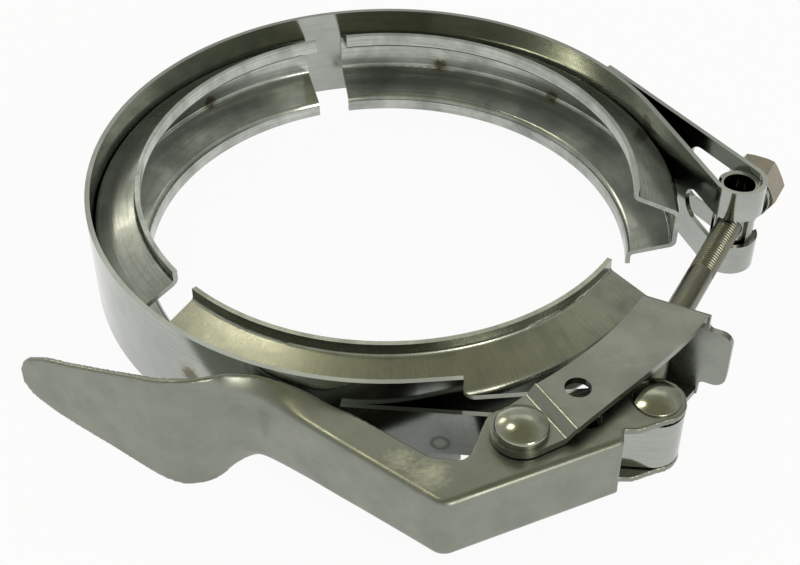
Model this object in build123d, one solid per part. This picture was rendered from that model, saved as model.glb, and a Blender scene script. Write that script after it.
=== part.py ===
from build123d import *
from math import acos, atan2, cos, degrees, hypot, pi, radians, sin, sqrt, tan
import os

os.makedirs("parts", exist_ok=True)

# Quick-release V-band clamp for a round flanged joint of about 125 mm.
# Millimetres. The origin is the centre of the ring, half way up the band.
# +Z is the ring's axis; -Y is the side with the lever, +X the side with the T-bolt.

# Band: one polished stainless strip, 1 inch wide
BAND_R = 73.9            # outer radius of the ring
BAND_T = 1.2             # strip thickness
BAND_HALF = 12.7         # half of the strip's width
BAND_IN = BAND_R - BAND_T

# Retainers: V section pressed from sheet, spot-welded inside the band
RET_T = 1.2
V_DEPTH = 12.0           # from the band's inside to the lips' inside
LIP_TALL = 2.97          # height of each upright lip
FLANK_DEG = 20.0         # slope of each flank of the V
WEB_HALF = 5.4           # height of the web's corner above the middle
RET_BEND = 1.0           # inside radius of the retainer's bends
LEFT_SPAN = (109.0, 218.0)
LEFT_GAP = 7.0           # degrees between the left and the front segment
BACK_GAP = 8.0           # degrees between the left and the back segment
BACK_START = -6.6
FRONT_END = 327.0
BACK_SPAN = (BACK_START, LEFT_SPAN[0] - BACK_GAP)
FRONT_SPAN = (LEFT_SPAN[1] + LEFT_GAP, FRONT_END)
LIP_R = BAND_IN - V_DEPTH
FLANK_RISE = (V_DEPTH - RET_T) * tan(radians(FLANK_DEG))
LIP_HALF = WEB_HALF + FLANK_RISE + LIP_TALL

# Running gaps
RUN_GAP = 0.1            # radial gap of a pin in its loop or hole
SIDE_GAP = 0.3           # gap between plates that move past each other
HOLE_GAP = 0.15          # radial gap of the bolt in the parts it slides through

# Lever: one pressed piece, a channel that flattens into a finger blade
LEVER_T = 1.6
LEVER_HALF = 8.4         # half height of the channel
ARM_SAG = 1.9            # the left arm is deeper than the right one by this at the neck
BLADE_HALF = 16.4        # half of the blade's greatest width
BLADE_DROP = 1.8         # the blade's middle lies this far below the band's
EAR_R = 6.5              # round ends about both pivots

# Pivots: distance outside the band, and bearing in degrees
LEVER_PIVOT_OUT = 19.97
LEVER_PIVOT_DEG = -52.227
TRUNNION_OUT = 12.692
TRUNNION_DEG = -2.648

# Link: one U-shaped pressed piece
LINK_T = 1.7
LINK_JOGGLE = 1.8        # the plates stand this far outside the ears
LINK_FACE = 48.9         # from the link's pivot to the outside of its end wall
LINK_DIR = atan2(0.907, 0.421)

# T-bolt, quarter inch, and what it carries
BOLT_R = 3.175
THREAD_R = 2.9           # core under the thread
HEAD_R = 3.7
HEAD_HALF = 8.8
NUT_FLATS = 12.7
NUT_TALL = 8.6
WASHER_T = 1.4
WASHER_R = 6.2
BOSS_R = 5.0
BOSS_TOP = 9.3           # flat seat of the washer, from the trunnion's axis

TUBE_R = 4.5
TUBE_BORE = 3.9
LINER_T = 0.8


def polar(radius, angle_deg, centre=(0.0, 0.0)):
    angle = radians(angle_deg)
    return (centre[0] + radius * cos(angle), centre[1] + radius * sin(angle))


LEVER_PIVOT = polar(BAND_R + LEVER_PIVOT_OUT, LEVER_PIVOT_DEG)
TRUNNION = polar(BAND_R + TRUNNION_OUT, TRUNNION_DEG)
LINK_EAR_HALF = LEVER_HALF + SIDE_GAP + LINK_T
LINK_HALF = LINK_EAR_HALF + LINK_JOGGLE
HOLE_R = BOLT_R + HOLE_GAP


def latch(x, y):
    """Plan point given from the lever's pivot."""
    return (LEVER_PIVOT[0] + x, LEVER_PIVOT[1] + y)


LINK_PIVOT = latch(-29.4, -10.6)
LEVER_END = latch(-8.1, -12.3)
LEVER_KNEE = latch(-45.9, -29.3)
LEVER_DIP = latch(-87.7, 2.8)
BLADE_BACK = latch(-100.5, -3.4)
BLADE_TIP = latch(-139.1, 16.6)


def sector(r_in, r_out, start, end, centre=(0.0, 0.0)):
    """Flat ring sector between two radii, counter-clockwise from start to end degrees."""
    outer = CenterArc(centre, r_out, start, end - start)
    inner = CenterArc(centre, r_in, start, end - start)
    return make_face([outer, inner, Line(outer @ 0, inner @ 0), Line(outer @ 1, inner @ 1)])


def offset_points(points, gap):
    """Points of the line that runs at a gap to the left of a bent line."""
    moved = []
    last = len(points) - 1
    for i, here in enumerate(points):
        a = points[max(i - 1, 0)]
        b = points[min(i, last - 1)]
        c = points[min(i + 1, last)]
        d = points[max(i, 1)] if i == last else here
        before = atan2(here[1] - a[1], here[0] - a[0]) if i > 0 else atan2(c[1] - b[1], c[0] - b[0])
        after = atan2(c[1] - here[1], c[0] - here[0]) if i < last else before
        middle = (before + after) / 2 if abs(before - after) < pi else (before + after) / 2 + pi
        reach = gap / cos(middle - before)
        moved.append((here[0] - reach * sin(middle), here[1] + reach * cos(middle)))
    return moved


def strip_face(points, thickness, radii):
    """Flat strip to the left of a bent line; radii are those of the line's own bends."""
    other = offset_points(points, thickness)
    other_radii = []
    for i, radius in enumerate(radii, start=1):
        before = atan2(points[i][1] - points[i - 1][1], points[i][0] - points[i - 1][0])
        after = atan2(points[i + 1][1] - points[i][1], points[i + 1][0] - points[i][0])
        turn = (after - before + pi) % (2 * pi) - pi
        other_radii.append(radius - thickness if turn > 0 else radius + thickness)
    near = FilletPolyline(*points, radius=radii)
    far = FilletPolyline(*other, radius=other_radii)
    return make_face([near, far, Line(near @ 0, far @ 0), Line(near @ 1, far @ 1)])


def slab(face, half):
    return extrude(face, amount=half, both=True)


def retainer(span):
    """V-section segment turned about the ring's axis between two angles."""
    web = BAND_IN
    lip = LIP_R + RET_T
    flank_end = WEB_HALF + FLANK_RISE
    points = [(lip, -LIP_HALF), (lip, -flank_end), (web, -WEB_HALF), (web, WEB_HALF), (lip, flank_end), (lip, LIP_HALF)]
    face = strip_face(points, RET_T, [RET_BEND, RET_BEND + RET_T, RET_BEND + RET_T, RET_BEND])
    start, end = span
    return revolve(Plane.XZ * face, axis=Axis.Z, revolution_arc=end - start).rotate(Axis.Z, start)


class Loop:
    """The strip's end: it leaves the ring, turns round a pivot and comes back outside the ring."""

    def __init__(self, pivot, bore, handed, thickness=BAND_T):
        self.pivot = pivot
        self.bore = bore
        self.handed = handed
        self.thickness = thickness
        reach = hypot(*pivot)
        bearing = degrees(atan2(pivot[1], pivot[0]))
        self.inner_deg = bearing + handed * degrees(acos((BAND_R + bore) / reach))
        self.outer_deg = bearing + handed * degrees(acos((BAND_R - bore) / reach))

    def inner_leg(self):
        start = polar(BAND_R, self.inner_deg)
        end = polar(-self.bore, self.inner_deg, self.pivot)
        step = polar(-self.thickness, self.inner_deg)
        return self.leg(start, end, step)

    def outer_leg(self, start=None):
        start = start or polar(BAND_R, self.outer_deg)
        end = polar(self.bore, self.outer_deg, self.pivot)
        step = polar(self.thickness, self.outer_deg)
        return self.leg(start, end, step)

    def leg(self, start, end, step):
        far_end = (end[0] + step[0], end[1] + step[1])
        far_start = (start[0] + step[0], start[1] + step[1])
        return make_face(Polyline(start, end, far_end, far_start, close=True))

    def turn(self):
        first = self.inner_deg + 180.0
        last = self.outer_deg + 360.0 if self.handed > 0 else self.outer_deg
        low, high = min(first, last), max(first, last)
        if high - low > 360.0:
            low = low + 360.0
        return sector(self.bore, self.bore + self.thickness, low, high, self.pivot)


LOOP_BORE = TUBE_R + LINER_T + RUN_GAP
bolt_loop = Loop(TRUNNION, LOOP_BORE, +1)
STRAP_BORE = 5.2
strap_loop = Loop(LEVER_PIVOT, STRAP_BORE, -1)

# Strap: the narrow end of the strip at the lever
STRAP_HALF = LEVER_HALF - LEVER_T - 0.45
NECK_AT = 9.9            # length of the leg that keeps the full width
NECK_FILLET = 3.0
TAIL_LAP = 2.2           # degrees of the tail that lie on the ring

# Slots for the bolt
SLOT_HALF = BOLT_R + 1.0
SLOT_BACK = 12.4         # the slot's round end, from the trunnion along the inner leg
WINDOW_HALF = NUT_FLATS / sqrt(3) + 0.7   # taller opening that clears the nut
WINDOW_BACK = 22.0
WINDOW_FRONT = 3.0


def leg_plane(loop, angle_deg, offset):
    """Plane lying on a leg: x runs from the pivot back to the ring, y is up, z away from the ring."""
    normal = polar(1.0, angle_deg)
    back = (-loop.handed * normal[1], loop.handed * normal[0], 0)
    origin = (loop.pivot[0] + offset * normal[0], loop.pivot[1] + offset * normal[1], 0)
    plane = Plane(origin=origin, x_dir=back, z_dir=(normal[0], normal[1], 0))
    return plane


def bolt_slots():
    """Cutters of the bolt's way through the loop and its legs."""
    bore = LOOP_BORE
    front = 2 * bore + BAND_T
    inner = leg_plane(bolt_loop, bolt_loop.inner_deg, -bore - 2 * BAND_T)
    straight = SLOT_BACK - SLOT_HALF + front
    slot = inner * Pos((SLOT_BACK - SLOT_HALF - front) / 2, 0, 0) * Rectangle(straight, 2 * SLOT_HALF)
    slot = slot + inner * Pos(SLOT_BACK - SLOT_HALF, 0, 0) * Circle(SLOT_HALF)
    outer = leg_plane(bolt_loop, bolt_loop.outer_deg, 1.0)
    middle = (WINDOW_BACK - WINDOW_FRONT) / 2
    window = outer * Pos(middle, 0, 0) * RectangleRounded(WINDOW_BACK + WINDOW_FRONT, 2 * WINDOW_HALF, 3.5)
    return [extrude(slot, amount=2 * (bore + 2 * BAND_T)), extrude(window, amount=bore + 2 * BAND_T)]


def neck(loop):
    """Inner leg at the lever: full width first, then the narrow strap."""
    start = polar(BAND_R, loop.inner_deg)
    end = polar(-loop.bore, loop.inner_deg, loop.pivot)
    length = hypot(end[0] - start[0], end[1] - start[1])
    plane = leg_plane(loop, loop.inner_deg, -loop.bore)
    full = length - NECK_AT
    outline = Polyline(
        (0, -STRAP_HALF), (full, -STRAP_HALF), (full, -BAND_HALF), (length, -BAND_HALF),
        (length, BAND_HALF), (full, BAND_HALF), (full, STRAP_HALF), (0, STRAP_HALF), close=True)
    face = make_face(outline)
    inner_corners = [v for v in face.vertices() if abs(v.X - full) < 0.01 and abs(abs(v.Y) - STRAP_HALF) < 0.01]
    face = fillet(inner_corners, NECK_FILLET)
    return extrude(plane * face, amount=-BAND_T)


def band():
    """One strip: the ring, the bolt's loop with its slots and the lever's strap."""
    start = bolt_loop.inner_deg
    end = strap_loop.inner_deg + 360.0
    ring = sector(BAND_IN, BAND_R, start, end)
    tail_start = polar(BAND_R, bolt_loop.outer_deg)
    lap = sector(BAND_R, BAND_R + BAND_T, bolt_loop.outer_deg, bolt_loop.outer_deg + TAIL_LAP)
    wide = slab(ring, BAND_HALF)
    for face in (bolt_loop.inner_leg(), bolt_loop.outer_leg(), bolt_loop.turn(), lap):
        wide = wide + slab(face, BAND_HALF)
    for cutter in bolt_slots():
        wide = wide - cutter
    strap_lap = sector(BAND_R, BAND_R + BAND_T, strap_loop.outer_deg - TAIL_LAP, strap_loop.outer_deg)
    narrow = neck(strap_loop)
    for face in (strap_loop.turn(), strap_loop.outer_leg(), strap_lap):
        narrow = narrow + slab(face, STRAP_HALF)
    return wide + narrow


LINER_HALF = BAND_HALF - 1.7
LINER_SPAN = (-60.0, 150.0)


def blade_edge(side):
    """Upper (side 1) or lower (side -1) edge of the blade, seen from the lever's outside."""
    widths = ((-141.5, 1.6), (-139.6, 4.6), (-135.5, 7.0), (-127.9, 9.3), (-118.0, 12.0), (-108.6, 14.9),
              (-101.5, BLADE_HALF), (-94.5, BLADE_HALF), (-89.3, 14.4))
    points = [(LEVER_PIVOT[0] + x, side * half - BLADE_DROP) for x, half in widths]
    neck = LEVER_HALF + (ARM_SAG if side < 0 else 0.0)
    points.append((LEVER_PIVOT[0] - 85.3, side * (neck + 1.7)))
    points.append((LEVER_PIVOT[0] - 81.6, side * (neck - 0.3)))
    return Spline(*points, tangents=((0.6, side), (1, -0.15 * side)))


def blade():
    """Finger blade: the web goes on past the channel, bent in plan and cut to its outline seen from the side."""
    points = [BLADE_TIP, BLADE_BACK, LEVER_DIP, lever_line(0.35)]
    body = slab(strip_face(points, LEVER_T, [22.0, 6.0]), 2 * BLADE_HALF)
    upper = blade_edge(1)
    lower = blade_edge(-1)
    inner_end = LEVER_KNEE[0]
    tip = ThreePointArc(lower @ 0, (LEVER_PIVOT[0] - 142.2, -BLADE_DROP), upper @ 0)
    root = Polyline(
        upper @ 1, (LEVER_PIVOT[0] - 78.0, NECK_LOW), (inner_end, NECK_LOW), (inner_end, -NECK_LOW),
        (LEVER_PIVOT[0] - 78.0, -NECK_LOW), lower @ 1)
    outline = Plane.XZ * make_face([upper, root, lower, tip])
    return body & extrude(outline, amount=2 * BAND_R)


def lever_line(share):
    """Plan point on the outside of the web, as a share of the way from the dip to the knee."""
    x = LEVER_DIP[0] + share * (LEVER_KNEE[0] - LEVER_DIP[0])
    y = LEVER_DIP[1] + share * (LEVER_KNEE[1] - LEVER_DIP[1])
    return (x, y)


def channel_plan():
    """Plan of the channel: its web's outside, its flanges' free edge and the ears' root."""
    edge = Polyline(
        LEVER_END, LEVER_KNEE, lever_line(0.15), latch(-80.7, 2.8), latch(-64.8, -3.7), latch(-48.2, -16.1),
        latch(-40.7, -17.0), latch(-35.9, -3.7), latch(-1.5, 6.6), LEVER_PIVOT, latch(1.1, -6.4),
        latch(-4.9, -9.0), latch(-7.9, -8.7), close=True)
    face = make_face(edge)
    rounds = ((LEVER_KNEE, KNEE_R), (latch(-48.2, -16.1), 3.0), (latch(-40.7, -17.0), 2.5), (latch(-35.9, -3.7), 5.0))
    for spot, radius in rounds:
        face = fillet(face.vertices().sort_by_distance(spot)[0], radius)
    return face


def channel_side(inset):
    """The channel seen from its side, moved in by a sheet's thickness or not: level, then deeper at the left arm."""
    half = LEVER_HALF - inset
    level = LEVER_KNEE[0] + KNEE_R
    neck = lever_line(0.15)[0]
    run = level - neck
    bend_r = (run**2 + ARM_SAG**2) / (2 * ARM_SAG)
    middle = level - run / 2
    fall = bend_r - sqrt(bend_r**2 - run**2 / 4)
    far = level - 1.4 * run
    far_fall = bend_r - sqrt(bend_r**2 - (1.4 * run)**2)
    sag = ThreePointArc((level, -half), (middle, -half - fall), (far, -half - far_fall))
    right = LEVER_PIVOT[0] + 2 * EAR_R
    rest = Polyline(sag @ 1, (far, half), (right, half), (right, -half), sag @ 0)
    return extrude(Plane.XZ * make_face([sag, rest]), amount=2 * BAND_R)


def channel():
    """U channel: the plan at full height with round outer bends, less the room between its flanges."""
    body = slab(channel_plan(), 2 * LEVER_HALF) & channel_side(0.0)
    bends = [e for e in body.edges() if abs(e.center().Z) > LEVER_HALF - 0.2 and on_lever_line(e @ 0.5)]
    body = fillet(bends, LEVER_T - 0.1)
    inside = offset_points([LEVER_DIP, LEVER_KNEE, LEVER_END], LEVER_T)
    wall = FilletPolyline(*inside, radius=KNEE_R - LEVER_T)
    out = wall % 1
    beyond = (inside[2][0] + 20 * out.Y, inside[2][1] - 20 * out.X)
    right = LEVER_PIVOT[0] + 30
    room = make_face([wall, Polyline(
        wall @ 1, beyond, (right, beyond[1]), (right, LEVER_PIVOT[1] + 30), (LEVER_DIP[0], LEVER_PIVOT[1] + 30),
        wall @ 0)])
    ear = slab(Pos(*LEVER_PIVOT) * Circle(EAR_R), LEVER_HALF)
    return body + ear - (slab(room, 2 * LEVER_HALF) & channel_side(LEVER_T))


def neck_bulge(side):
    """Pressed dome where the flat blade turns into the channel's bend, as a thin shell."""
    spot = lever_line(0.11)
    arm = atan2(LEVER_KNEE[1] - LEVER_DIP[1], LEVER_KNEE[0] - LEVER_DIP[0])
    sink = BULGE_R - BULGE_PROUD
    inward = (spot[0] - sink * sin(arm), spot[1] + sink * cos(arm))
    neck = LEVER_HALF + (ARM_SAG if side < 0 else 0.0)
    return Pos(*inward, side * (neck - sink)) * (Sphere(BULGE_R) - Sphere(BULGE_R - LEVER_T))


BULGE_R = 6.0
BULGE_PROUD = 0.7        # the dome stands this far out of the blade's and the flange's faces


def lever():
    """Channel lever with its finger blade, pivot holes and locking-pin hole."""
    body = channel() + blade() + neck_bulge(1) + neck_bulge(-1)
    body = body - Cylinder(BAND_R + BAND_T + SIDE_GAP, 60.0)
    for spot, radius in ((LEVER_PIVOT, PIN_NECK_R), (LINK_PIVOT, RIVET_R + RUN_GAP), (LOCK_HOLE, LOCK_R)):
        body = body - Pos(*spot, 0) * Cylinder(radius, 4 * LEVER_HALF)
    return body


KNEE_R = 4.0
NECK_LOW = LEVER_HALF - 2 * LEVER_T    # the blade's sheet runs on between the bends
LOCK_HOLE = latch(-15.1, -5.5)
LOCK_R = 2.8
PIN_R = STRAP_BORE - RUN_GAP
PIN_NECK_R = 3.0
PIN_HEAD_R = 5.3
PIN_HEAD_TALL = 1.7
RIVET_R = 3.0
RIVET_HEAD_R = 5.8
RIVET_HEAD_TALL = 3.5
RIVET_SHOULDER_R = 4.2


def on_lever_line(middle):
    """True for a point on the outside of the channel's web."""
    start = lever_line(0.15)
    for a, b in ((start, LEVER_KNEE), (LEVER_KNEE, LEVER_END)):
        length = hypot(b[0] - a[0], b[1] - a[1])
        away = abs((middle.X - a[0]) * (b[1] - a[1]) - (middle.Y - a[1]) * (b[0] - a[0])) / length
        if away < 0.02 and start[0] + 1.0 < middle.X < LEVER_END[0] - 1.0:
            return True
    return hypot(middle.X - LEVER_KNEE[0], middle.Y - LEVER_KNEE[1]) < 2.0


def headed_pin(steps, head_r, head_tall, rim):
    """Turned pin, the same above and below the middle: (radius, height) steps, then a domed head."""
    points = [(0.0, 0.0)]
    low = 0.0
    for radius, high in steps:
        points += [(radius, low), (radius, high)]
        low = high
    points += [(head_r, low), (head_r, low + rim)]
    dome = head_tall - rim
    dome_r = (head_r**2 + dome**2) / (2 * dome)
    middle = low + head_tall - dome_r
    arc = ThreePointArc(points[-1], (head_r / 2, middle + sqrt(dome_r**2 - head_r**2 / 4)), (0.0, low + head_tall))
    half = make_face([Polyline(*points), arc, Line(arc @ 1, points[0])])
    half = fillet(half.vertices().sort_by_distance(points[-1])[0], rim / 2)
    body = revolve(Plane.XZ * half, axis=Axis.Z)
    return body + body.mirror(Plane.XY)


def lever_pivot_pin():
    """Shouldered rivet that holds the lever's ears to the strap's loop."""
    steps = ((PIN_R, LEVER_HALF - LEVER_T), (PIN_NECK_R, LEVER_HALF))
    return Pos(*LEVER_PIVOT, 0) * headed_pin(steps, PIN_HEAD_R, PIN_HEAD_TALL, 0.4)


def link_rivet():
    """Tall-headed rivet through the link's ears and the lever's flanges."""
    steps = ((RIVET_SHOULDER_R, LEVER_HALF - LEVER_T - SIDE_GAP), (RIVET_R, LINK_EAR_HALF))
    return Pos(*LINK_PIVOT, 0) * headed_pin(steps, RIVET_HEAD_R, RIVET_HEAD_TALL, 1.6)


LINK_SIDE = LINK_DIR - pi / 2


def link_point(along, across):
    """Plan point at a distance from the link's pivot towards its end wall, and across it."""
    x = LINK_PIVOT[0] + along * cos(LINK_DIR) + across * cos(LINK_SIDE)
    y = LINK_PIVOT[1] + along * sin(LINK_DIR) + across * sin(LINK_SIDE)
    return (x, y)


WALL_LEFT = 10.6         # across the link, from its pivot
WALL_RIGHT = 26.1
WING_RIGHT = 32.0
WING_HALF = 7.8
BOLT_ACROSS = 15.7
JOGGLE_LOW = 6.4         # from the pivot, where the plate leaves the ear's level
JOGGLE_HIGH = 9.0
JOGGLE_DIR = 30.9        # degrees, square to the bend lines
LINK_HOLE = link_point(14.56, 6.91)
LINK_HOLE_R = 2.9


def link_outline():
    """Plan of a plate: a waist along the ring, a gently hollow outer edge and a round ear."""
    far_left = link_point(LINK_FACE, WALL_LEFT)
    far_right = link_point(LINK_FACE, WALL_RIGHT)
    near_left = link_ear(2.3, 10.4)
    near_right = link_ear(11.8, -0.9)
    left = ThreePointArc(near_left, link_ear(18.4, 24.4), far_left)
    right = Spline(far_right, link_ear(38.1, 25.7), link_ear(28.0, 15.0), near_right)
    face = make_face([left, Line(far_left, far_right), right, Line(near_right, near_left)])
    ear = make_hull((Pos(*LINK_PIVOT) * Circle(EAR_R)).edges() + Line(link_ear(3.5, 11.6), near_right).edges())
    return face + ear


def link_ear(x, y):
    """Plan point given from the link's pivot."""
    return (LINK_PIVOT[0] + x, LINK_PIVOT[1] + y)


def link_plate():
    """Upper plate of the link, with the joggle down to its ear."""
    drop = LINK_HALF - LINK_EAR_HALF
    points = [(-12.0, -drop), (JOGGLE_LOW, -drop), (JOGGLE_HIGH, 0), (70.0, 0)]
    low = [(x, y - LINK_T) for x, y in points]
    side = make_face([
        FilletPolyline(*points, radius=1.2), FilletPolyline(*low, radius=1.2),
        Line(points[0], low[0]), Line(points[-1], low[-1])])
    plane = Plane(origin=(*LINK_PIVOT, LINK_HALF), x_dir=(cos(radians(JOGGLE_DIR)), sin(radians(JOGGLE_DIR)), 0),
                  z_dir=(sin(radians(JOGGLE_DIR)), -cos(radians(JOGGLE_DIR)), 0))
    sheet = extrude(plane * side, amount=40.0, both=True)
    return sheet & slab(link_outline(), 2 * LINK_HALF)


def link_wall():
    """End wall that the T-head bears on, with its flared wing and the bolt's open slot."""
    face = make_face(Polyline(
        (WALL_LEFT, -LINK_HALF), (WALL_RIGHT, -LINK_HALF), (WALL_RIGHT, -WING_HALF), (WING_RIGHT, -WING_HALF),
        (WING_RIGHT, WING_HALF), (WALL_RIGHT, WING_HALF), (WALL_RIGHT, LINK_HALF), (WALL_LEFT, LINK_HALF),
        close=True))
    outer = [v for v in face.vertices() if v.X > WALL_RIGHT + 0.1]
    face = fillet(outer, 3.0)
    roots = [v for v in face.vertices() if abs(v.X - WALL_RIGHT) < 0.01 and abs(v.Y) < WING_HALF + 0.1]
    face = fillet(roots, 1.2)
    slot_end = BOLT_ACROSS + 0.2
    slot = Pos((WALL_LEFT - 2 + slot_end) / 2, 0) * Rectangle(slot_end - WALL_LEFT + 2, 2 * (BOLT_R + 0.6))
    slot = slot + Pos(slot_end, 0) * Circle(BOLT_R + 0.6)
    face = face - slot
    plane = Plane(origin=(*link_point(LINK_FACE, 0), 0), x_dir=(cos(LINK_SIDE), sin(LINK_SIDE), 0),
                  z_dir=(-cos(LINK_DIR), -sin(LINK_DIR), 0))
    if plane.y_dir.Z < 0:
        face = face.mirror(Plane.XZ)
    return extrude(plane * face, amount=LINK_T)


def link():
    """Two plates joined by the end wall."""
    plate = link_plate()
    body = plate + plate.mirror(Plane.XY) + link_wall()
    corners = [e for e in body.edges() if abs(abs(e.center().Z) - LINK_HALF) < 0.01 and e.length > 10
               and abs(along_link(e @ 0.5) - LINK_FACE) < 0.05]
    body = fillet(corners, LINK_T - 0.2)
    body = body - Pos(*LINK_HOLE, 0) * Cylinder(LINK_HOLE_R, 4 * LINK_HALF)
    return body - Pos(*LINK_PIVOT, 0) * Cylinder(RIVET_R, 4 * LINK_HALF)


def along_link(point):
    return (point.X - LINK_PIVOT[0]) * cos(LINK_DIR) + (point.Y - LINK_PIVOT[1]) * sin(LINK_DIR)


HEAD_AT = link_point(LINK_FACE - LINK_T - HEAD_R - RUN_GAP, BOLT_ACROSS)
BOLT_SPAN = hypot(TRUNNION[0] - HEAD_AT[0], TRUNNION[1] - HEAD_AT[1])
bolt_line = Plane(
    origin=(*HEAD_AT, 0), x_dir=(0, 0, 1),
    z_dir=(TRUNNION[0] - HEAD_AT[0], TRUNNION[1] - HEAD_AT[1], 0))
trunnion_line = Plane(origin=(*TRUNNION, 0), x_dir=(0, 0, 1), z_dir=bolt_line.z_dir)

THREAD_START = 30.0      # from the T-head
NUT_AT = BOSS_TOP + WASHER_T + 0.05
BOLT_TIP = NUT_AT + NUT_TALL + 2.0


def rod(plane, radius, low, high):
    return extrude(plane * Pos(0, 0, low) * Circle(radius), amount=high - low)


def t_bolt():
    """T-bolt: a cross head, a plain shank and a threaded end."""
    body = Pos(*HEAD_AT, 0) * Cylinder(HEAD_R, 2 * HEAD_HALF)
    body = chamfer(body.edges().filter_by(GeomType.CIRCLE), 0.5)
    body = body + rod(bolt_line, BOLT_R, 0, THREAD_START)
    thread = rod(bolt_line, THREAD_R, THREAD_START, BOLT_SPAN + BOLT_TIP)
    rims = thread.edges().filter_by(GeomType.CIRCLE).sort_by(Axis(bolt_line.origin, bolt_line.z_dir))
    return body + chamfer(rims[-1], 0.6)


def trunnion():
    """Swivel tube in the loop, cross-drilled for the bolt."""
    body = Pos(*TRUNNION, 0) * (Cylinder(TUBE_R, 2 * LINER_HALF) - Cylinder(TUBE_BORE, 3 * LINER_HALF))
    return body - rod(trunnion_line, HOLE_R, -2 * TUBE_R, 2 * TUBE_R)


def saddle():
    """Curved liner round the trunnion with the round boss that seats the washer."""
    wrap = slab(sector(TUBE_R, TUBE_R + LINER_T, *LINER_SPAN, TRUNNION), LINER_HALF)
    boss = rod(trunnion_line, BOSS_R, 0, BOSS_TOP) - Pos(*TRUNNION, 0) * Cylinder(TUBE_R, 3 * LINER_HALF)
    return wrap + boss - rod(trunnion_line, HOLE_R, -1, 2 * BOSS_TOP)


def seat_washer():
    body = rod(trunnion_line, WASHER_R, BOSS_TOP, BOSS_TOP + WASHER_T)
    body = chamfer(body.edges().filter_by(GeomType.CIRCLE), 0.25)
    return body - rod(trunnion_line, HOLE_R, 0, 3 * BOSS_TOP)


def nut():
    """Tall hexagon nut with chamfered corners."""
    across = NUT_FLATS / sqrt(3)
    hexagon = trunnion_line * Pos(0, 0, NUT_AT) * Rot(0, 0, 30) * RegularPolygon(across, 6)
    body = extrude(hexagon, amount=NUT_TALL)
    cone_face = make_face(Polyline(
        (0, 0), (across - 0.6, 0), (across + 0.05, 0.4), (across + 0.05, NUT_TALL - 0.5), (across - 0.8, NUT_TALL),
        (0, NUT_TALL), close=True))
    cone = revolve(Plane.XZ * cone_face, axis=Axis.Z)
    cone = Location(Plane(origin=trunnion_line.origin + trunnion_line.z_dir * NUT_AT, x_dir=trunnion_line.x_dir,
                          z_dir=trunnion_line.z_dir)) * cone
    body = body & cone
    return body - rod(trunnion_line, HOLE_R, 0, 4 * BOSS_TOP)


PARTS = {
    "band": band,
    "retainer_left": lambda: retainer(LEFT_SPAN),
    "retainer_back": lambda: retainer(BACK_SPAN),
    "retainer_front": lambda: retainer(FRONT_SPAN),
    "trunnion": trunnion,
    "saddle": saddle,
    "seat_washer": seat_washer,
    "nut": nut,
    "t_bolt": t_bolt,
    "link": link,
    "link_rivet": link_rivet,
    "lever": lever,
    "lever_pivot_pin": lever_pivot_pin,
}

for name, make in PARTS.items():
    shape = make()
    if isinstance(shape, ShapeList) or not isinstance(shape, (Solid, Compound, Part)):
        shape = Compound(list(shape))
    shape.label = name
    export_step(shape, f"parts/{name}.step")
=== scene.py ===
import bmesh
import bpy
import math
import numpy as np
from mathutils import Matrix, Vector


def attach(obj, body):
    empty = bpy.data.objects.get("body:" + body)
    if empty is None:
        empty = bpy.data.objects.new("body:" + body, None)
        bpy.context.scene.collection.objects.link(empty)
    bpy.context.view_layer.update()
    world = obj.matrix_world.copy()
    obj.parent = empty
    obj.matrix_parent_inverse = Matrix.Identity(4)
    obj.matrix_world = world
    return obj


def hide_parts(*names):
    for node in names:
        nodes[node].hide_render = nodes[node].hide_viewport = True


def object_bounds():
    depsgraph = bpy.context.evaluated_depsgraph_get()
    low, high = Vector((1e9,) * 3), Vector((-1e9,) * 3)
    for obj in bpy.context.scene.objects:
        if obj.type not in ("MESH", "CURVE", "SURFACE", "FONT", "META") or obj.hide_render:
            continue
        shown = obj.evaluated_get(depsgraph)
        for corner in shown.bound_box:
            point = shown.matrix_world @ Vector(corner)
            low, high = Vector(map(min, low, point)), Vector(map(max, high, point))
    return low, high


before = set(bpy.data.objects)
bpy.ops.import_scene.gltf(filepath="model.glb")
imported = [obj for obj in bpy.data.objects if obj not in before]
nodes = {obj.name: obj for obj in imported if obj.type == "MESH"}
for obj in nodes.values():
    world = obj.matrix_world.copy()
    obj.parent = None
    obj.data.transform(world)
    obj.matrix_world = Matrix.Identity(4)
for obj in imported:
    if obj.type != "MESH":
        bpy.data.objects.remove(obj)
cad_box = [list(corner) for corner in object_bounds()]

# Band: one rolled stainless strip, mirror-bright from the mill, with a faint grain along its length.
# It is one length bent cold, with its ends folded back and spot-welded. Welds leave straw and brown marks,
# and the electrodes leave round dents with a dark rim.
MM = 0.001
BAND_MID_R = 73.3
BAND_OUTSIDE_R = 73.9
BAND_INSIDE_R = 72.7
TAIL_R = 75.0
TAIL_DIMPLE_R = 75.1
SHADE = "#757973"
# Near-black of painted shade, laid in recesses and in overhung spots.
PAINTED_SHADE = "#24261f"
HEAT_BROWN = "#4b4230"
HEAT_STRAW = "#8f8a68"
DIMPLE_RIM = "#3a3c38"
PALE_SCUFF_AND_SHEEN = "#dcddc8"
RECESS_SHADE_MM = 14.0
RAGGED_MM = 1.2
CLOUD_GAIN = 1.6
ROUGH_LOW = 0.75
ROUGH_HIGH = 1.35
FINE_SCRATCH = 0.35
HALO = 1.7
HALO_STRENGTH = 0.5
DIMPLE_FLOOR = 0.88
DIMPLE_WOBBLE = 0.05
DIMPLE_STRENGTH = 0.8
SCUFF_AND_SHEEN_STRENGTH = 0.6
SCUFF_ROUGHER = 0.22


def linear(hex_colour):
    """Linear RGBA of an sRGB hex colour."""
    parts = [int(hex_colour[i:i + 2], 16) / 255 for i in (1, 3, 5)]
    return tuple(c / 12.92 if c <= 0.04045 else ((c + 0.055) / 1.055) ** 2.4 for c in parts) + (1.0,)


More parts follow.
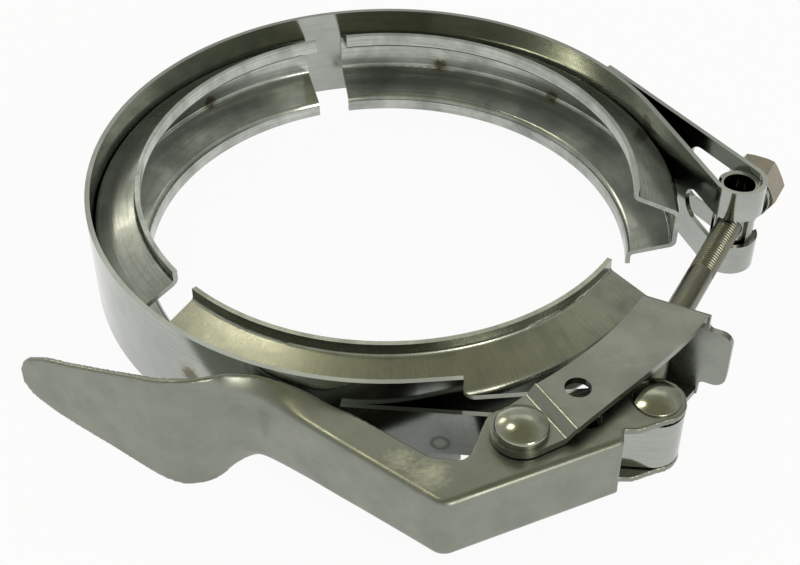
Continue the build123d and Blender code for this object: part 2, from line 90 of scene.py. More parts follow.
def put(tree, kind, settings=None, **links):
    """Adds a shader node, sets its properties, and fills or links its inputs.
    An input goes by its name, with _ for a space, or by i and its number."""
    node = tree.nodes.new(kind)
    for key, value in (settings or {}).items():
        setattr(node, key, value)
    for key, value in links.items():
        name = key.replace("_", " ")
        socket = node.inputs[int(key[1:])] if key[0] == "i" and key[1:].isdigit() else node.inputs[name]
        if isinstance(value, bpy.types.NodeSocket):
            tree.links.new(value, socket)
        else:
            socket.default_value = value
    return node


def ring_coordinates(tree):
    """Object coordinates turned to (distance round the ring, height, radius), in metres."""
    x, y, z = put(tree, "ShaderNodeSeparateXYZ", i0=object_coordinates(tree)).outputs
    angle = put(tree, "ShaderNodeMath", {"operation": "ARCTAN2"}, i0=y, i1=x).outputs[0]
    along = put(tree, "ShaderNodeMath", {"operation": "MULTIPLY"}, i0=angle, i1=BAND_MID_R * MM).outputs[0]
    flat = put(tree, "ShaderNodeCombineXYZ", i0=x, i1=y).outputs[0]
    radius = put(tree, "ShaderNodeVectorMath", {"operation": "LENGTH"}, i0=flat).outputs["Value"]
    return put(tree, "ShaderNodeCombineXYZ", i0=along, i1=z, i2=radius).outputs[0]


def object_coordinates(tree):
    """Each point's place on the clamp, in metres."""
    return put(tree, "ShaderNodeTexCoord").outputs["Object"]


def stretched_noise(tree, place, size_mm, detail=3.0, roughness=0.55):
    """Noise whose spots measure size_mm along the three axes of the given coordinates."""
    scale = tuple(1.0 / (size * MM) for size in size_mm)
    mapped = put(tree, "ShaderNodeMapping", i0=place, Scale=scale).outputs[0]
    noise = put(tree, "ShaderNodeTexNoise", i0=mapped, Scale=1.0, Detail=detail, Roughness=roughness)
    return noise.outputs["Fac"]


def layered(tree, colour, layers):
    """Lays colours over a first one in turn. A layer is its share, from 0 to 1, and its hex colour."""
    for share, over in layers:
        over_it = put(tree, "ShaderNodeMix", {"data_type": "RGBA"}, i0=share, i6=colour, i7=linear(over))
        colour = over_it.outputs[2]
    return colour


def spot(tree, centre_mm, radius_mm, soft=0.35, wobble=0.6, strength=1.0):
    """A ragged round mask about a point: strength inside, fading to 0 at its rim."""
    place = object_coordinates(tree)
    centre = tuple(c * MM for c in centre_mm)
    away = put(tree, "ShaderNodeVectorMath", {"operation": "DISTANCE"}, i0=place, i1=centre).outputs["Value"]
    ragged = stretched_noise(tree, place, (RAGGED_MM, RAGGED_MM, RAGGED_MM))
    shift = put(tree, "ShaderNodeMapRange", Value=ragged, From_Min=0.3, From_Max=0.7,
                To_Min=-wobble * MM, To_Max=wobble * MM).outputs[0]
    total = put(tree, "ShaderNodeMath", {"operation": "ADD"}, i0=away, i1=shift).outputs[0]
    return put(tree, "ShaderNodeMapRange", Value=total, From_Min=radius_mm * MM,
               From_Max=radius_mm * (1 - soft) * MM, To_Max=strength).outputs[0]


def brushed(tree, place, grain_mm, depth_mm):
    """Fine parallel scratches: two stretched noises, one finer than the other, as a bump."""
    coarse = stretched_noise(tree, place, grain_mm, 4.0, 0.7)
    fine = stretched_noise(tree, place, tuple(g * FINE_SCRATCH for g in grain_mm), 2.0, 0.6)
    both = put(tree, "ShaderNodeMath", {"operation": "ADD"}, i0=coarse, i1=fine).outputs[0]
    return put(tree, "ShaderNodeBump", Height=both, Strength=1.0, Distance=depth_mm * MM).outputs[0]


def steel_material(name, tint, roughness, place_of, grain_mm, depth_mm, streak, cloud_mm, recess_shade=0.75,
                   painted_shades=(), welds=(), dimples=(), scuffs_and_sheen=()):
    """Stainless steel: metal with a cloudy tone, grain along the coordinates of place_of, and painted shade
    in recesses. Shade spots are more painted shade, welds brown heat marks, dimples dark rims, and scuffs
    pale rough patches, partly wear and partly a painted highlight."""
    material = bpy.data.materials.new(name)
    material.use_nodes = True
    tree = material.node_tree
    shader = tree.nodes["Principled BSDF"]
    place = place_of(tree)
    clouds = stretched_noise(tree, place, (cloud_mm, cloud_mm, cloud_mm), 4.0, 0.6)
    lines = stretched_noise(tree, place, grain_mm, 3.0, 0.65)
    # Painted shade: the colour darkens to near-black where ambient occlusion finds corners, creases and gaps
    # between parts.
    nearby = put(tree, "ShaderNodeAmbientOcclusion", {"samples": 6}, Distance=RECESS_SHADE_MM * MM).outputs["AO"]
    cloudy = put(tree, "ShaderNodeMapRange", Value=clouds, From_Min=0.38, From_Max=0.68,
                 To_Max=streak * CLOUD_GAIN).outputs[0]
    streaky = put(tree, "ShaderNodeMapRange", Value=lines, From_Min=0.45, From_Max=0.75,
                  To_Max=streak).outputs[0]
    painted_recess_shade = put(tree, "ShaderNodeMapRange", Value=nearby, From_Min=0.65, From_Max=0.15,
                 To_Max=recess_shade).outputs[0]
    rough = put(tree, "ShaderNodeMapRange", Value=clouds, From_Min=0.3, From_Max=0.7,
                To_Min=roughness * ROUGH_LOW, To_Max=roughness * ROUGH_HIGH).outputs[0]
    layers = [(cloudy, SHADE), (streaky, SHADE), (painted_recess_shade, PAINTED_SHADE)]
    # Painted shade: soft dark spots where another part overhangs this one.
    for centre, size, strength in painted_shades:
        layers.append((spot(tree, centre, size, 0.6, strength=strength), PAINTED_SHADE))
    for centre, size, strength in welds:
        layers.append((spot(tree, centre, size * HALO, 0.5, strength=HALO_STRENGTH * strength), HEAT_STRAW))
        layers.append((spot(tree, centre, size, 0.4, strength=strength), HEAT_BROWN))
    for centre, size in dimples:
        rim = spot(tree, centre, size, 0.12, DIMPLE_WOBBLE, DIMPLE_STRENGTH)
        inside = spot(tree, centre, size * DIMPLE_FLOOR, 0.15, DIMPLE_WOBBLE, DIMPLE_STRENGTH)
        line = put(tree, "ShaderNodeMath", {"operation": "SUBTRACT", "use_clamp": True}, i0=rim, i1=inside)
        layers.append((line.outputs[0], DIMPLE_RIM))
    # Pale rough patches: partly wear, and partly a painted highlight that lightens the surface.
    for centre, size in scuffs_and_sheen:
        grit = put(tree, "ShaderNodeMapRange", Value=lines, From_Min=0.35, From_Max=0.65,
                   To_Min=0.3).outputs[0]
        round_patch = spot(tree, centre, size, 0.7, 1.2)
        patch = put(tree, "ShaderNodeMath", {"operation": "MULTIPLY"}, i0=round_patch, i1=grit).outputs[0]
        pale = put(tree, "ShaderNodeMath", {"operation": "MULTIPLY"}, i0=patch, i1=SCUFF_AND_SHEEN_STRENGTH).outputs[0]
        layers.append((pale, PALE_SCUFF_AND_SHEEN))
        rough = put(tree, "ShaderNodeMath", {"operation": "MULTIPLY_ADD"}, i0=patch, i1=SCUFF_ROUGHER,
                    i2=rough).outputs[0]
    tree.links.new(layered(tree, linear(tint), layers), shader.inputs["Base Color"])
    tree.links.new(rough, shader.inputs["Roughness"])
    tree.links.new(brushed(tree, place, grain_mm, depth_mm), shader.inputs["Normal"])
    shader.inputs["Metallic"].default_value = 1.0
    return material


def finish_node(node, material):
    """Gives a solid of the frame its finish, and leaves its mesh as it is."""
    obj = nodes[node]
    obj.data.materials.clear()
    obj.data.materials.append(material)


def ring_point(angle_deg, radius, height):
    """A point at an angle round the ring, in millimetres."""
    angle = math.radians(angle_deg)
    return (radius * math.cos(angle), radius * math.sin(angle), height)


# A weld or a spot of painted shade is its place, radius and strength, and a dimple is its place and radius.
BAND_WELDS = (
    (ring_point(-126, BAND_OUTSIDE_R, 1.0), 2.6, 0.75),
    (ring_point(21, BAND_INSIDE_R, 7.5), 2.4, 0.55),
    (ring_point(-80.8, TAIL_R, -3.0), 1.8, 0.25))
BAND_DIMPLES = (
    (ring_point(-80.8, TAIL_DIMPLE_R, -3.0), 3.4),
    (ring_point(21, BAND_INSIDE_R, 7.5), 2.2))
# Painted shade on the band's tail, which the latch overhangs.
BAND_PAINTED_SHADES = (
    ((6.0, -76.0, -3.0), 20.0, 0.62),
    ((24.0, -76.0, -3.0), 16.0, 0.5))
finish_node("band", steel_material(
    "rolled_strip", "#abafa8", 0.13, ring_coordinates, grain_mm=(26.0, 0.5, 5.0), depth_mm=0.0025,
    streak=0.22, cloud_mm=22.0, recess_shade=0.12, painted_shades=BAND_PAINTED_SHADES, welds=BAND_WELDS, dimples=BAND_DIMPLES))

# Retainers: V-section segments pressed from satin stainless sheet, one each left, back and front.
# Each is spot-welded to the band through its web, and the left and back ones show the heat marks in their V.
# Grain runs round the left and back ones, and across the front one, which has a rougher satin face.
WEB_R = 71.5
ROUND_GRAIN = (24.0, 0.7, 0.7)
ACROSS_GRAIN = (0.35, 9.0, 9.0)
LEFT_WELDS = (
    (ring_point(134.3, WEB_R, -3.4), 2.1, 0.8),
    (ring_point(190, WEB_R, -2.0), 2.0, 0.6))
BACK_WELDS = (
    (ring_point(78.2, WEB_R, -3.6), 2.1, 0.8),
    (ring_point(49.8, WEB_R, -4.1), 2.1, 0.8),
    (ring_point(12, WEB_R, -3.0), 2.0, 0.6))
# Painted light: the left retainer is tinted lighter and the back one darker, for the brighter light on the
# left.
finish_node("retainer_left", steel_material(
    "pressed_left", "#bfc3bb", 0.17, ring_coordinates, ROUND_GRAIN, depth_mm=0.004,
    streak=0.42, cloud_mm=12.0, recess_shade=0.10, welds=LEFT_WELDS))
finish_node("retainer_back", steel_material(
    "pressed_back", "#b4b8b0", 0.17, ring_coordinates, ROUND_GRAIN, depth_mm=0.004,
    streak=0.42, cloud_mm=12.0, recess_shade=0.10, welds=BACK_WELDS))
finish_node("retainer_front", steel_material(
    "pressed_front", "#b4b7a8", 0.26, ring_coordinates, ACROSS_GRAIN, depth_mm=0.006,
    streak=0.35, cloud_mm=10.0, recess_shade=0.2))

# Lever: one sheet of 1.6 mm stainless, pressed to a channel whose walls open out into the flat finger blade.
# Its upper edge curls over at the neck and leaves a round dome there. It is tumbled, so its grain is short.
LEVER_SHEET = 1.6
BLADE_TIP = np.array([-81.6, -57.6])
BLADE_BACK = np.array([-43.0, -77.6])
LEVER_DIP = np.array([-30.2, -71.4])
LEVER_KNEE = np.array([11.6, -103.5])
ARM_WAY = (LEVER_KNEE - LEVER_DIP) / np.linalg.norm(LEVER_KNEE - LEVER_DIP)
BACK_ROUND = 18.0
DIP_ROUND = 8.0
SHEET_FROM = -57.7
SHEET_TO = 22.0
ARM_KEPT_FROM = 20.0
PATH_STEP = 0.4
MARGIN_POINTS = 13
WEB_POINTS = 16
EDGES_EASED_FROM = -54.0
EASE_MM = 1.3
EASE_REACH = 8
DOME_PROUD = 1.4
DOME_AT = -0.5
DOME_LENGTH = 4.4
DOME_HEIGHT = 9.4
DOME_TALL = 3.4
WELD_MM = 0.002
REMESH_MM = 0.40
NECK_AT = 8.0
NECK_REACH = 18.0
NECK_STEEP = 2.0
ALL_EASED = 3
NECK_EASED = 14
EASE_SHARE = 0.5
# Each row: distance past the dip, how far in the free edge lies, its height, the bend's radius and start.
# The upper table's last row and the lower one's last four follow the arm of the solid, as measured on it.
UPPER_EDGE = (
    (SHEET_FROM, 0.0, 1.0, 8.0, -1.7), (-57.0, 0.0, 2.9, 8.0, -1.6), (-55.3, 0.0, 4.4, 8.0, 0.0),
    (-50.2, 0.0, 6.6, 8.0, 2.0), (-45.1, 0.0, 7.5, 8.0, 4.0), (-33.9, 0.0, 10.2, 8.0, 6.0),
    (-23.3, 0.0, 13.1, 8.0, 6.6), (-15.3, 0.0, 14.6, 8.0, 6.6), (-9.0, 0.1, 14.5, 7.0, 6.6),
    (-5.0, 0.7, 14.0, 6.5, 6.4), (-2.0, 2.0, 13.0, 6.0, 6.0), (0.5, 3.1, 12.2, 5.2, 5.8),
    (3.0, 4.1, 11.5, 4.4, 5.8), (6.0, 5.1, 11.1, 3.6, 6.0), (8.4, 6.0, 10.7, 3.0, 6.2),
    (11.0, 7.1, 9.9, 2.4, 6.4), (13.5, 7.9, 9.0, 1.9, 6.6), (16.0, 8.2, 8.4, 1.6, 6.8),
    (19.0, 8.3, 8.4, 1.5, 6.9), (SHEET_TO, 8.76, 8.4, 1.5, 6.9))
LOWER_EDGE = (
    (SHEET_FROM, 0.0, -3.6, 6.0, -1.9), (-57.0, 0.0, -5.2, 6.0, -2.0), (-55.3, 0.0, -7.0, 6.0, -3.6),
    (-50.2, 0.0, -9.6, 6.0, -6.0), (-45.1, 0.0, -11.1, 6.0, -8.0), (-33.9, 0.0, -13.8, 6.0, -9.0),
    (-23.3, 0.0, -16.7, 6.0, -9.0), (-15.3, 0.0, -18.2, 6.0, -9.0), (-9.0, 0.1, -17.7, 6.0, -9.0),
    (-5.0, 0.4, -16.2, 5.0, -9.0), (-1.0, 1.3, -14.0, 4.0, -9.0), (3.0, 2.9, -12.2, 3.0, -8.9),
    (6.0, 4.1, -11.1, 2.2, -8.7), (10.0, 5.48, -10.06, 1.5, -8.55), (14.0, 6.57, -9.8, 1.5, -8.28),
    (18.0, 7.67, -9.54, 1.5, -8.03), (SHEET_TO, 8.76, -9.31, 1.5, -7.81))


def rounded_path(points, radii, step):
    """Polyline with its inner corners turned to arcs, as points about a step apart.
    An arc starts before its corner by its radius times the tangent of half the turn."""
    places = []
    start = points[0]
    for before, corner, after, radius in zip(points, points[1:], points[2:], radii):
        into = (corner - before) / np.linalg.norm(corner - before)
        out = (after - corner) / np.linalg.norm(after - corner)
        turn = math.atan2(into[0] * out[1] - into[1] * out[0], float(into @ out))
        reach = radius * math.tan(abs(turn) / 2)
        first = corner - into * reach
        left = np.array([-into[1], into[0]]) * math.copysign(1.0, turn)
        centre = first + left * radius
        run_steps = max(2, int(np.linalg.norm(first - start) / step))
        places.append(np.linspace(start, first, run_steps, endpoint=False))
        arc_steps = max(4, int(radius * abs(turn) / step))
        sweep = np.linspace(0.0, abs(turn), arc_steps, endpoint=False)[:, None]
        places.append(centre - left * radius * np.cos(sweep) + into * radius * np.sin(sweep))
        start = corner + out * reach
    places.append(np.linspace(start, points[-1], int(np.linalg.norm(points[-1] - start) / step)))
    return np.vstack(places)


def edge_values(table, along):
    """Columns of an edge table at each place along the sheet, straight between rows.
    Past the blade's tip they are then eased by a bell-shaped average."""
    rows = np.array(table)
    bell = np.exp(-0.5 * (np.arange(-EASE_REACH, EASE_REACH + 1) * PATH_STEP / EASE_MM) ** 2)
    bell /= bell.sum()
    columns = []
    for k in range(1, rows.shape[1]):
        straight = np.interp(along, rows[:, 0], rows[:, k])
        soft = np.convolve(np.pad(straight, EASE_REACH, mode="edge"), bell, "valid")
        columns.append(np.where(along > EDGES_EASED_FROM, soft, straight))
    return columns


def curled_margin(inward, height, radius, bend_from, side):
    """Sections of one margin, one for each place along: up the web to the bend, round it, and on to the edge.
    The bend's angle is the one whose tangent line ends at the free edge. Side is 1 above and -1 below."""
    across = inward - radius
    rise = side * (height - bend_from)
    straight = np.sqrt(np.maximum(across**2 + rise**2 - radius**2, 1e-6))
    angle = np.arctan2(straight * across + radius * rise, straight * rise - radius * across)
    angle = np.maximum(angle, 0.0)
    share = np.linspace(0.0, 1.0, MARGIN_POINTS)
    bend_in = radius[:, None] * (1 - np.cos(angle[:, None] * share))
    bend_up = radius[:, None] * np.sin(angle[:, None] * share)
    leg = share[1:] * straight[:, None]
    leg_in = bend_in[:, -1:] + leg * np.sin(angle)[:, None]
    leg_up = bend_up[:, -1:] + leg * np.cos(angle)[:, None]
    rises = bend_from[:, None] + side * np.hstack([bend_up, leg_up])
    return np.stack([np.hstack([bend_in, leg_in]), rises], axis=-1)


def lever_skin():
    """Grid of the sheet's outside: a section of the channel for each point of the plan path.
    The dome is a bell-shaped rise, whose height falls off with the distance from its middle squared."""
    corners = [BLADE_TIP, BLADE_BACK, LEVER_DIP, LEVER_DIP + ARM_WAY * SHEET_TO]
    plan = rounded_path(corners, (BACK_ROUND, DIP_ROUND), PATH_STEP)
    steps = np.linalg.norm(np.diff(plan, axis=0), axis=1)
    run = np.concatenate([[0.0], np.cumsum(steps)])
    along = SHEET_FROM + (SHEET_TO - SHEET_FROM) * run / run[-1]
    way = np.gradient(plan, axis=0)
    way /= np.linalg.norm(way, axis=1)[:, None]
    inward = np.stack([-way[:, 1], way[:, 0]], axis=-1)
    upper = curled_margin(*edge_values(UPPER_EDGE, along), 1)
    lower = curled_margin(*edge_values(LOWER_EDGE, along), -1)
    web = np.linspace(lower[:, 0], upper[:, 0], WEB_POINTS, axis=1)[:, 1:-1]
    section = np.concatenate([lower[:, ::-1], web, upper], axis=1)
    far_along = ((along - DOME_AT) / DOME_LENGTH) ** 2
    far_up = ((section[..., 1] - DOME_HEIGHT) / DOME_TALL) ** 2
    dome = DOME_PROUD * np.exp(-far_along[:, None] - far_up)
    flat = plan[:, None] + inward[:, None] * (section[..., 0] - dome)[..., None]
    return np.concatenate([flat, section[..., 1:]], axis=-1)


def thick_sheet(skin, thickness):
    """Closed shell of a grid and its copy one sheet's thickness behind it, along the grid's normals."""
    rows, columns = skin.shape[:2]
    normal = np.cross(np.gradient(skin, axis=0), np.gradient(skin, axis=1))
    normal /= np.linalg.norm(normal, axis=2)[..., None] + 1e-12
    back = skin + normal * thickness * (1.0 if normal[rows // 2, columns // 2, 1] > 0 else -1.0)
    points = np.vstack([skin.reshape(-1, 3), back.reshape(-1, 3)])
    behind = rows * columns
    index = np.arange(behind).reshape(rows, columns)
    front = np.stack([index[:-1, :-1], index[:-1, 1:], index[1:, 1:], index[1:, :-1]], axis=-1).reshape(-1, 4)
    walls = np.stack([front, front[:, ::-1] + behind], axis=1).reshape(-1, 4)
    rim = np.concatenate([index[:, 0], index[-1, 1:], index[-2::-1, -1], index[0, -2:0:-1]])
    after = np.roll(rim, -1)
    return points, np.vstack([walls, np.stack([rim, after, after + behind, rim + behind], axis=-1)])


def kept_arm(obj, place, way):
    """Copy of the lever's solid, cut off square to the arm, with its open side filled."""
    cut = bmesh.new()
    cut.from_mesh(obj.data)
    cut.transform(obj.matrix_world)
    bmesh.ops.remove_doubles(cut, verts=cut.verts, dist=WELD_MM * MM)
    everything = cut.verts[:] + cut.edges[:] + cut.faces[:]
    bmesh.ops.bisect_plane(cut, geom=everything, plane_co=place, plane_no=way, clear_inner=True)
    bmesh.ops.holes_fill(cut, edges=[edge for edge in cut.edges if edge.is_boundary])
    return cut


def eased(points, edges, weight, rounds):
    """Moves each point a share of the way to the middle of its neighbours, times its weight, in rounds."""
    count = np.bincount(edges.ravel(), minlength=len(points))[:, None]
    for _ in range(rounds):
        total = np.zeros_like(points)
        for k in range(3):
            total[:, k] = np.bincount(edges[:, 0], points[edges[:, 1], k], len(points))
            total[:, k] += np.bincount(edges[:, 1], points[edges[:, 0], k], len(points))
        points = points + weight[:, None] * EASE_SHARE * (total / count - points)
    return points


sheet_points, sheet_faces = thick_sheet(lever_skin(), LEVER_SHEET)
sheet_mesh = bpy.data.meshes.new("lever_sheet")
sheet_mesh.from_pydata((sheet_points * MM).tolist(), [], sheet_faces.tolist())
cut_at = LEVER_DIP + ARM_WAY * ARM_KEPT_FROM
joined = kept_arm(nodes["lever"], (*(cut_at * MM), 0.0), (*ARM_WAY, 0.0))
joined.from_mesh(sheet_mesh)
bmesh.ops.recalc_face_normals(joined, faces=joined.faces)
rough_mesh = bpy.data.meshes.new("lever_rough")
joined.to_mesh(rough_mesh)
joined.free()
lever = bpy.data.objects.new("lever_pressed", rough_mesh)
bpy.context.collection.objects.link(lever)
remesh = lever.modifiers.new("one_skin", "REMESH")
remesh.mode = "VOXEL"
remesh.voxel_size = REMESH_MM * MM
skin_mesh = bpy.data.meshes.new_from_object(lever.evaluated_get(bpy.context.evaluated_depsgraph_get()))
lever.modifiers.clear()
lever.data = skin_mesh
places = np.empty(len(skin_mesh.vertices) * 3)
skin_mesh.vertices.foreach_get("co", places)
places = places.reshape(-1, 3)
edges = np.empty(len(skin_mesh.edges) * 2, dtype=np.int64)
skin_mesh.edges.foreach_get("vertices", edges)
edges = edges.reshape(-1, 2)
past_dip = (places[:, :2] / MM - LEVER_DIP) @ ARM_WAY
neck = np.clip(1.0 - np.abs(past_dip - NECK_AT) / NECK_REACH, 0.0, 1.0)
places = eased(places, edges, np.ones(len(places)), ALL_EASED)
places = eased(places, edges, np.clip(neck * NECK_STEEP, 0.0, 1.0), NECK_EASED)
skin_mesh.vertices.foreach_set("co", places.ravel())
skin_mesh.polygons.foreach_set("use_smooth", [True] * len(skin_mesh.polygons))
skin_mesh.update()
# Pale scuffs on the upper flange: rougher wear, whose pale colour also paints a highlight on the flange.
LEVER_SCUFFS_AND_SHEEN = (
    ((9.0, -95.0, 8.4), 5.0),
    ((3.0, -91.0, 8.4), 3.5))
skin_mesh.materials.clear()
skin_mesh.materials.append(steel_material(
    "tumbled_lever", "#8e9185", 0.33, object_coordinates, grain_mm=(2.6, 1.3, 1.0), depth_mm=0.003,
    streak=0.18, cloud_mm=9.0, recess_shade=0.30, scuffs_and_sheen=LEVER_SCUFFS_AND_SHEEN))
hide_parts("lever")
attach(lever, "lever_body")

# Link: U-shaped stainless pressing with a satin face and scattered long scratches.
# Its two plates are joined by the end wall that holds the T-head.
finish_node("link", steel_material(
    "satin_link", "#90938a", 0.26, object_coordinates, grain_mm=(6.0, 0.6, 2.0), depth_mm=0.003,
    streak=0.15, cloud_mm=11.0))

# Rivets: cold-headed stainless, polished domes with a faintly cloudy face.
# One holds the lever in the strap, the other joins the link to the lever.
rivet_steel = steel_material(
    "polished_rivet", "#a9ab9a", 0.16, object_coordinates, grain_mm=(1.4, 1.4, 1.4), depth_mm=0.002,
    streak=0.22, cloud_mm=3.0)
for name in ("lever_pivot_pin", "link_rivet"):
    finish_node(name, rivet_steel)

# T-bolt and trunnion: turned steel. The bolt is darker and browner than the sheet parts.
# The tube is cross-drilled, and the bolt runs through it, a curved saddle and a washer, which are brighter.
turned_steel = steel_material(
    "turned_steel", "#7a7968", 0.28, object_coordinates, grain_mm=(0.4, 4.0, 0.4), depth_mm=0.003,
    streak=0.3, cloud_mm=5.0)
bright_turned = steel_material(
    "bright_turned", "#9da094", 0.20, object_coordinates, grain_mm=(1.0, 1.0, 0.5), depth_mm=0.002,
    streak=0.22, cloud_mm=4.0)
finish_node("t_bolt", turned_steel)
for name in ("trunnion", "saddle", "seat_washer"):
    finish_node(name, bright_turned)

# Nut: tall hexagon nut, bright steel with a faint brown tint from heat.
# It bears on the washer and sets the clamp's size.
finish_node("nut", steel_material(
    "tinted_nut", "#9a8f7c", 0.18, object_coordinates, grain_mm=(1.5, 1.5, 1.5), depth_mm=0.002,
    streak=0.3, cloud_mm=3.5))

# Thread: rolled on the T-bolt's outer end, 28 turns to the inch, in the bolt's own steel.
# The crests stand proud of the bolt's plain core.
HEAD_AT = np.array([60.613, -52.044])
TRUNNION = np.array([86.5, -4.0])
THREAD_PITCH = 25.4 / 28
THREAD_CREST = 3.16
THREAD_ROOT = 2.88
THREAD_FROM = 30.6
THREAD_PAST_TRUNNION = 20.6
ROWS_PER_TURN = 10
FLANK_STEEP = 1.35
ROOT_FLAT = 0.15
END_SUNK = 0.02


def thread_surface(start, length, core, crest, pitch, around=40):
    """Helical ridge about the x axis: a V-shaped rise whose height depends on x/pitch minus the turn's share.
    It is cut flat at root and crest, fades over one pitch at each end, and has a cap at both ends."""
    steps = int(length / pitch * ROWS_PER_TURN)
    along = np.linspace(0.0, length, steps)
    turn = np.linspace(0.0, 2 * math.pi, around, endpoint=False)
    x, angle = np.meshgrid(along, turn, indexing="ij")
    phase = (x / pitch - angle / (2 * math.pi)) % 1.0
    rise = 1.0 - np.abs(2.0 * phase - 1.0)
    flat = np.clip(rise * FLANK_STEEP - ROOT_FLAT, 0.0, 1.0)
    fade = np.clip(np.minimum(x, length - x) / pitch, 0.0, 1.0)
    radius = core + (crest - core) * flat * fade - END_SUNK * (1.0 - fade)
    points = np.stack([start + x, radius * np.cos(angle), radius * np.sin(angle)], axis=-1).reshape(-1, 3)
    index = np.arange(steps * around).reshape(steps, around)
    after = np.roll(index, -1, axis=1)
    quads = np.stack([index[:-1], after[:-1], after[1:], index[1:]], axis=-1).reshape(-1, 4)
    return points, quads.tolist() + [index[0, ::-1].tolist(), index[-1].tolist()]


span = float(np.linalg.norm(TRUNNION - HEAD_AT))
axis = (TRUNNION - HEAD_AT) / span
thread_length = span + THREAD_PAST_TRUNNION - THREAD_FROM
points, faces = thread_surface(THREAD_FROM, thread_length, THREAD_ROOT, THREAD_CREST, THREAD_PITCH)
placed = np.empty_like(points)
placed[:, 0] = HEAD_AT[0] + points[:, 0] * axis[0] - points[:, 1] * axis[1]
placed[:, 1] = HEAD_AT[1] + points[:, 0] * axis[1] + points[:, 1] * axis[0]
placed[:, 2] = points[:, 2]
thread_mesh = bpy.data.meshes.new("bolt_thread")
thread_mesh.from_pydata((placed * MM).tolist(), [], faces)
thread_mesh.polygons.foreach_set("use_smooth", [True] * len(thread_mesh.polygons))
thread_mesh.materials.append(turned_steel)
thread = bpy.data.objects.new("bolt_thread", thread_mesh)
bpy.context.collection.objects.link(thread)
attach(thread, "bolt_body")

# Floor and room: a matt white sheet, in a room that is white at the horizon and greyer up the walls and over.
# The right side of the room is darker. Sheet and room glow where they are seen or mirrored, and the room is
# dimmer as light that falls on the clamp.
FLOOR_GAP_MM = 0.05
FLOOR_WIDTH_M = 6.0
BACKDROP_SHARE = 0.94
ROOM_LIGHT = 0.75
AWAY_FROM_DARK = (-0.75, -0.25, 0.6)
PAPER_ROUGHNESS = 0.9
FIBRE_MM = 2.0


def seen_directly(tree):
    """1 for rays from the camera or that metal mirrors or glass passes on, and 0 for light that falls."""
    path = put(tree, "ShaderNodeLightPath").outputs
    mirrored = put(tree, "ShaderNodeMath", {"operation": "MAXIMUM"}, i0=path["Is Glossy Ray"],
                   i1=path["Is Transmission Ray"]).outputs[0]
    return put(tree, "ShaderNodeMath", {"operation": "MAXIMUM"}, i0=path["Is Camera Ray"],
               i1=mirrored).outputs[0]


low = cad_box[0][2] - FLOOR_GAP_MM * MM
bpy.ops.mesh.primitive_plane_add(size=FLOOR_WIDTH_M, location=(0, 0, low))
floor = bpy.context.object
floor.name = "floor"
floor_paint = bpy.data.materials.new("white_sheet")
floor_paint.use_nodes = True
tree = floor_paint.node_tree
paper = tree.nodes["Principled BSDF"]
paper.inputs["Roughness"].default_value = PAPER_ROUGHNESS
fibre = stretched_noise(tree, object_coordinates(tree), (FIBRE_MM, FIBRE_MM, FIBRE_MM))
fleck = put(tree, "ShaderNodeMapRange", Value=fibre, From_Min=0.3, From_Max=0.7).outputs[0]
tree.links.new(layered(tree, linear("#f3f3f2"), [(fleck, "#f6f6f5")]), paper.inputs["Base Color"])
share = put(tree, "ShaderNodeMath", {"operation": "MULTIPLY"}, i0=seen_directly(tree), i1=BACKDROP_SHARE)
glow = put(tree, "ShaderNodeEmission", Color=linear("#ffffff"), Strength=1.0)
blend = put(tree, "ShaderNodeMixShader", i0=share.outputs[0], i1=paper.outputs[0], i2=glow.outputs[0])
tree.links.new(blend.outputs[0], tree.nodes["Material Output"].inputs["Surface"])
floor.data.materials.append(floor_paint)

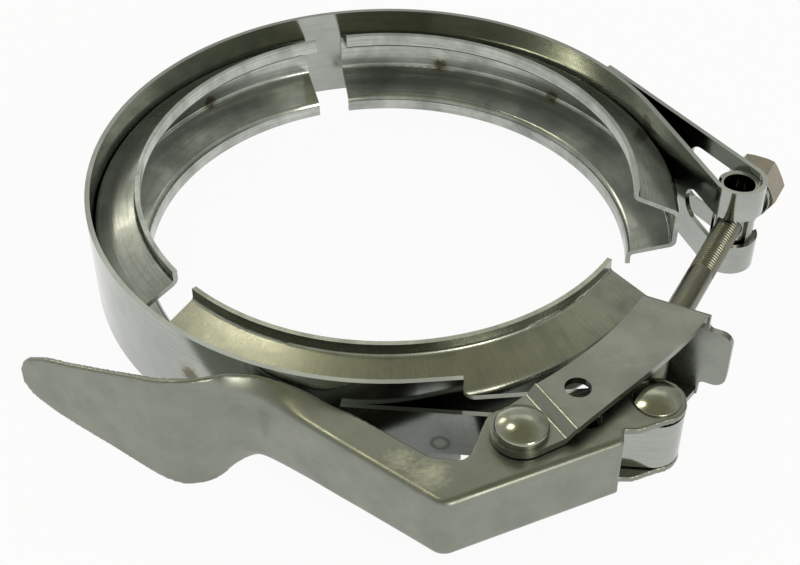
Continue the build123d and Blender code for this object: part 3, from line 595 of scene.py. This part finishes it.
world = bpy.data.worlds.new("studio")
bpy.context.scene.world = world
world.use_nodes = True
tree = world.node_tree
tree.nodes.clear()
way = put(tree, "ShaderNodeTexCoord").outputs["Generated"]
height = put(tree, "ShaderNodeSeparateXYZ", i0=way).outputs[2]
away = put(tree, "ShaderNodeVectorMath", {"operation": "DOT_PRODUCT"}, i0=way,
           i1=AWAY_FROM_DARK).outputs["Value"]
walls = put(tree, "ShaderNodeMapRange", Value=height, From_Min=0.06, From_Max=0.30).outputs[0]
ceiling = put(tree, "ShaderNodeMapRange", Value=height, From_Min=0.62, From_Max=0.95).outputs[0]
dark_side = put(tree, "ShaderNodeMapRange", Value=away, From_Min=-0.15, From_Max=-0.75).outputs[0]
room = layered(tree, linear("#ffffff"), [(walls, "#c9cac4"), (ceiling, "#90907a"), (dark_side, "#6f716a")])
strength = put(tree, "ShaderNodeMapRange", Value=seen_directly(tree), To_Min=ROOM_LIGHT).outputs[0]
sky = put(tree, "ShaderNodeBackground", Color=room, Strength=strength)
out = put(tree, "ShaderNodeOutputWorld")
tree.links.new(sky.outputs[0], out.inputs["Surface"])


# Lamps: four soft boxes of faintly warm light, at a plain level.
# They give the long highlights on the flanges and the bright left side of the band.
def lamp(name, place, aim, size, power, colour):
    """A rectangular soft box: its place, aim and size in metres, and its power in watts."""
    light = bpy.data.lights.new(name, "AREA")
    light.shape = "RECTANGLE"
    light.size, light.size_y = size
    light.energy = power
    light.color = linear(colour)[:3]
    obj = bpy.data.objects.new(name, light)
    obj.location = place
    obj.rotation_euler = (Vector(aim) - Vector(place)).to_track_quat("-Z", "Y").to_euler()
    bpy.context.collection.objects.link(obj)


lamp("key", (-0.62, 0.80, 0.66), (-0.04, 0, 0), (0.24, 0.24), 0.7, "#fff8e4")
lamp("top", (-0.38, 0.30, 1.00), (0, 0, 0), (0.18, 0.24), 1.3, "#fff6dc")
lamp("back", (0.10, 0.85, 0.85), (0, -0.05, 0), (0.90, 0.30), 0.40, "#fffdf4")
lamp("front", (0.45, -0.70, 0.45), (0, -0.04, 0), (0.30, 0.50), 2.5, "#fffaf0")

# Camera: fitted to the photograph's ellipse of the ring.
# It looks down at the clamp at 42 degrees.
CAMERA_AT = (3.11 * MM, -293.15 * MM, 238.5 * MM)
CAMERA_WAY = (0.0, 0.74346, -0.66878)
SENSOR_WIDTH = 36.0
FOCAL_LENGTH = 67.3
NEAREST_M = 0.01
camera_data = bpy.data.cameras.new("camera")
camera_data.sensor_width = SENSOR_WIDTH
camera_data.lens = FOCAL_LENGTH
camera_data.clip_start = NEAREST_M
camera = bpy.data.objects.new("camera", camera_data)
camera.location = CAMERA_AT
camera.rotation_euler = Vector(CAMERA_WAY).to_track_quat("-Z", "Y").to_euler()
bpy.context.collection.objects.link(camera)
bpy.context.scene.camera = camera
bpy.context.scene.view_settings.view_transform = "Standard"
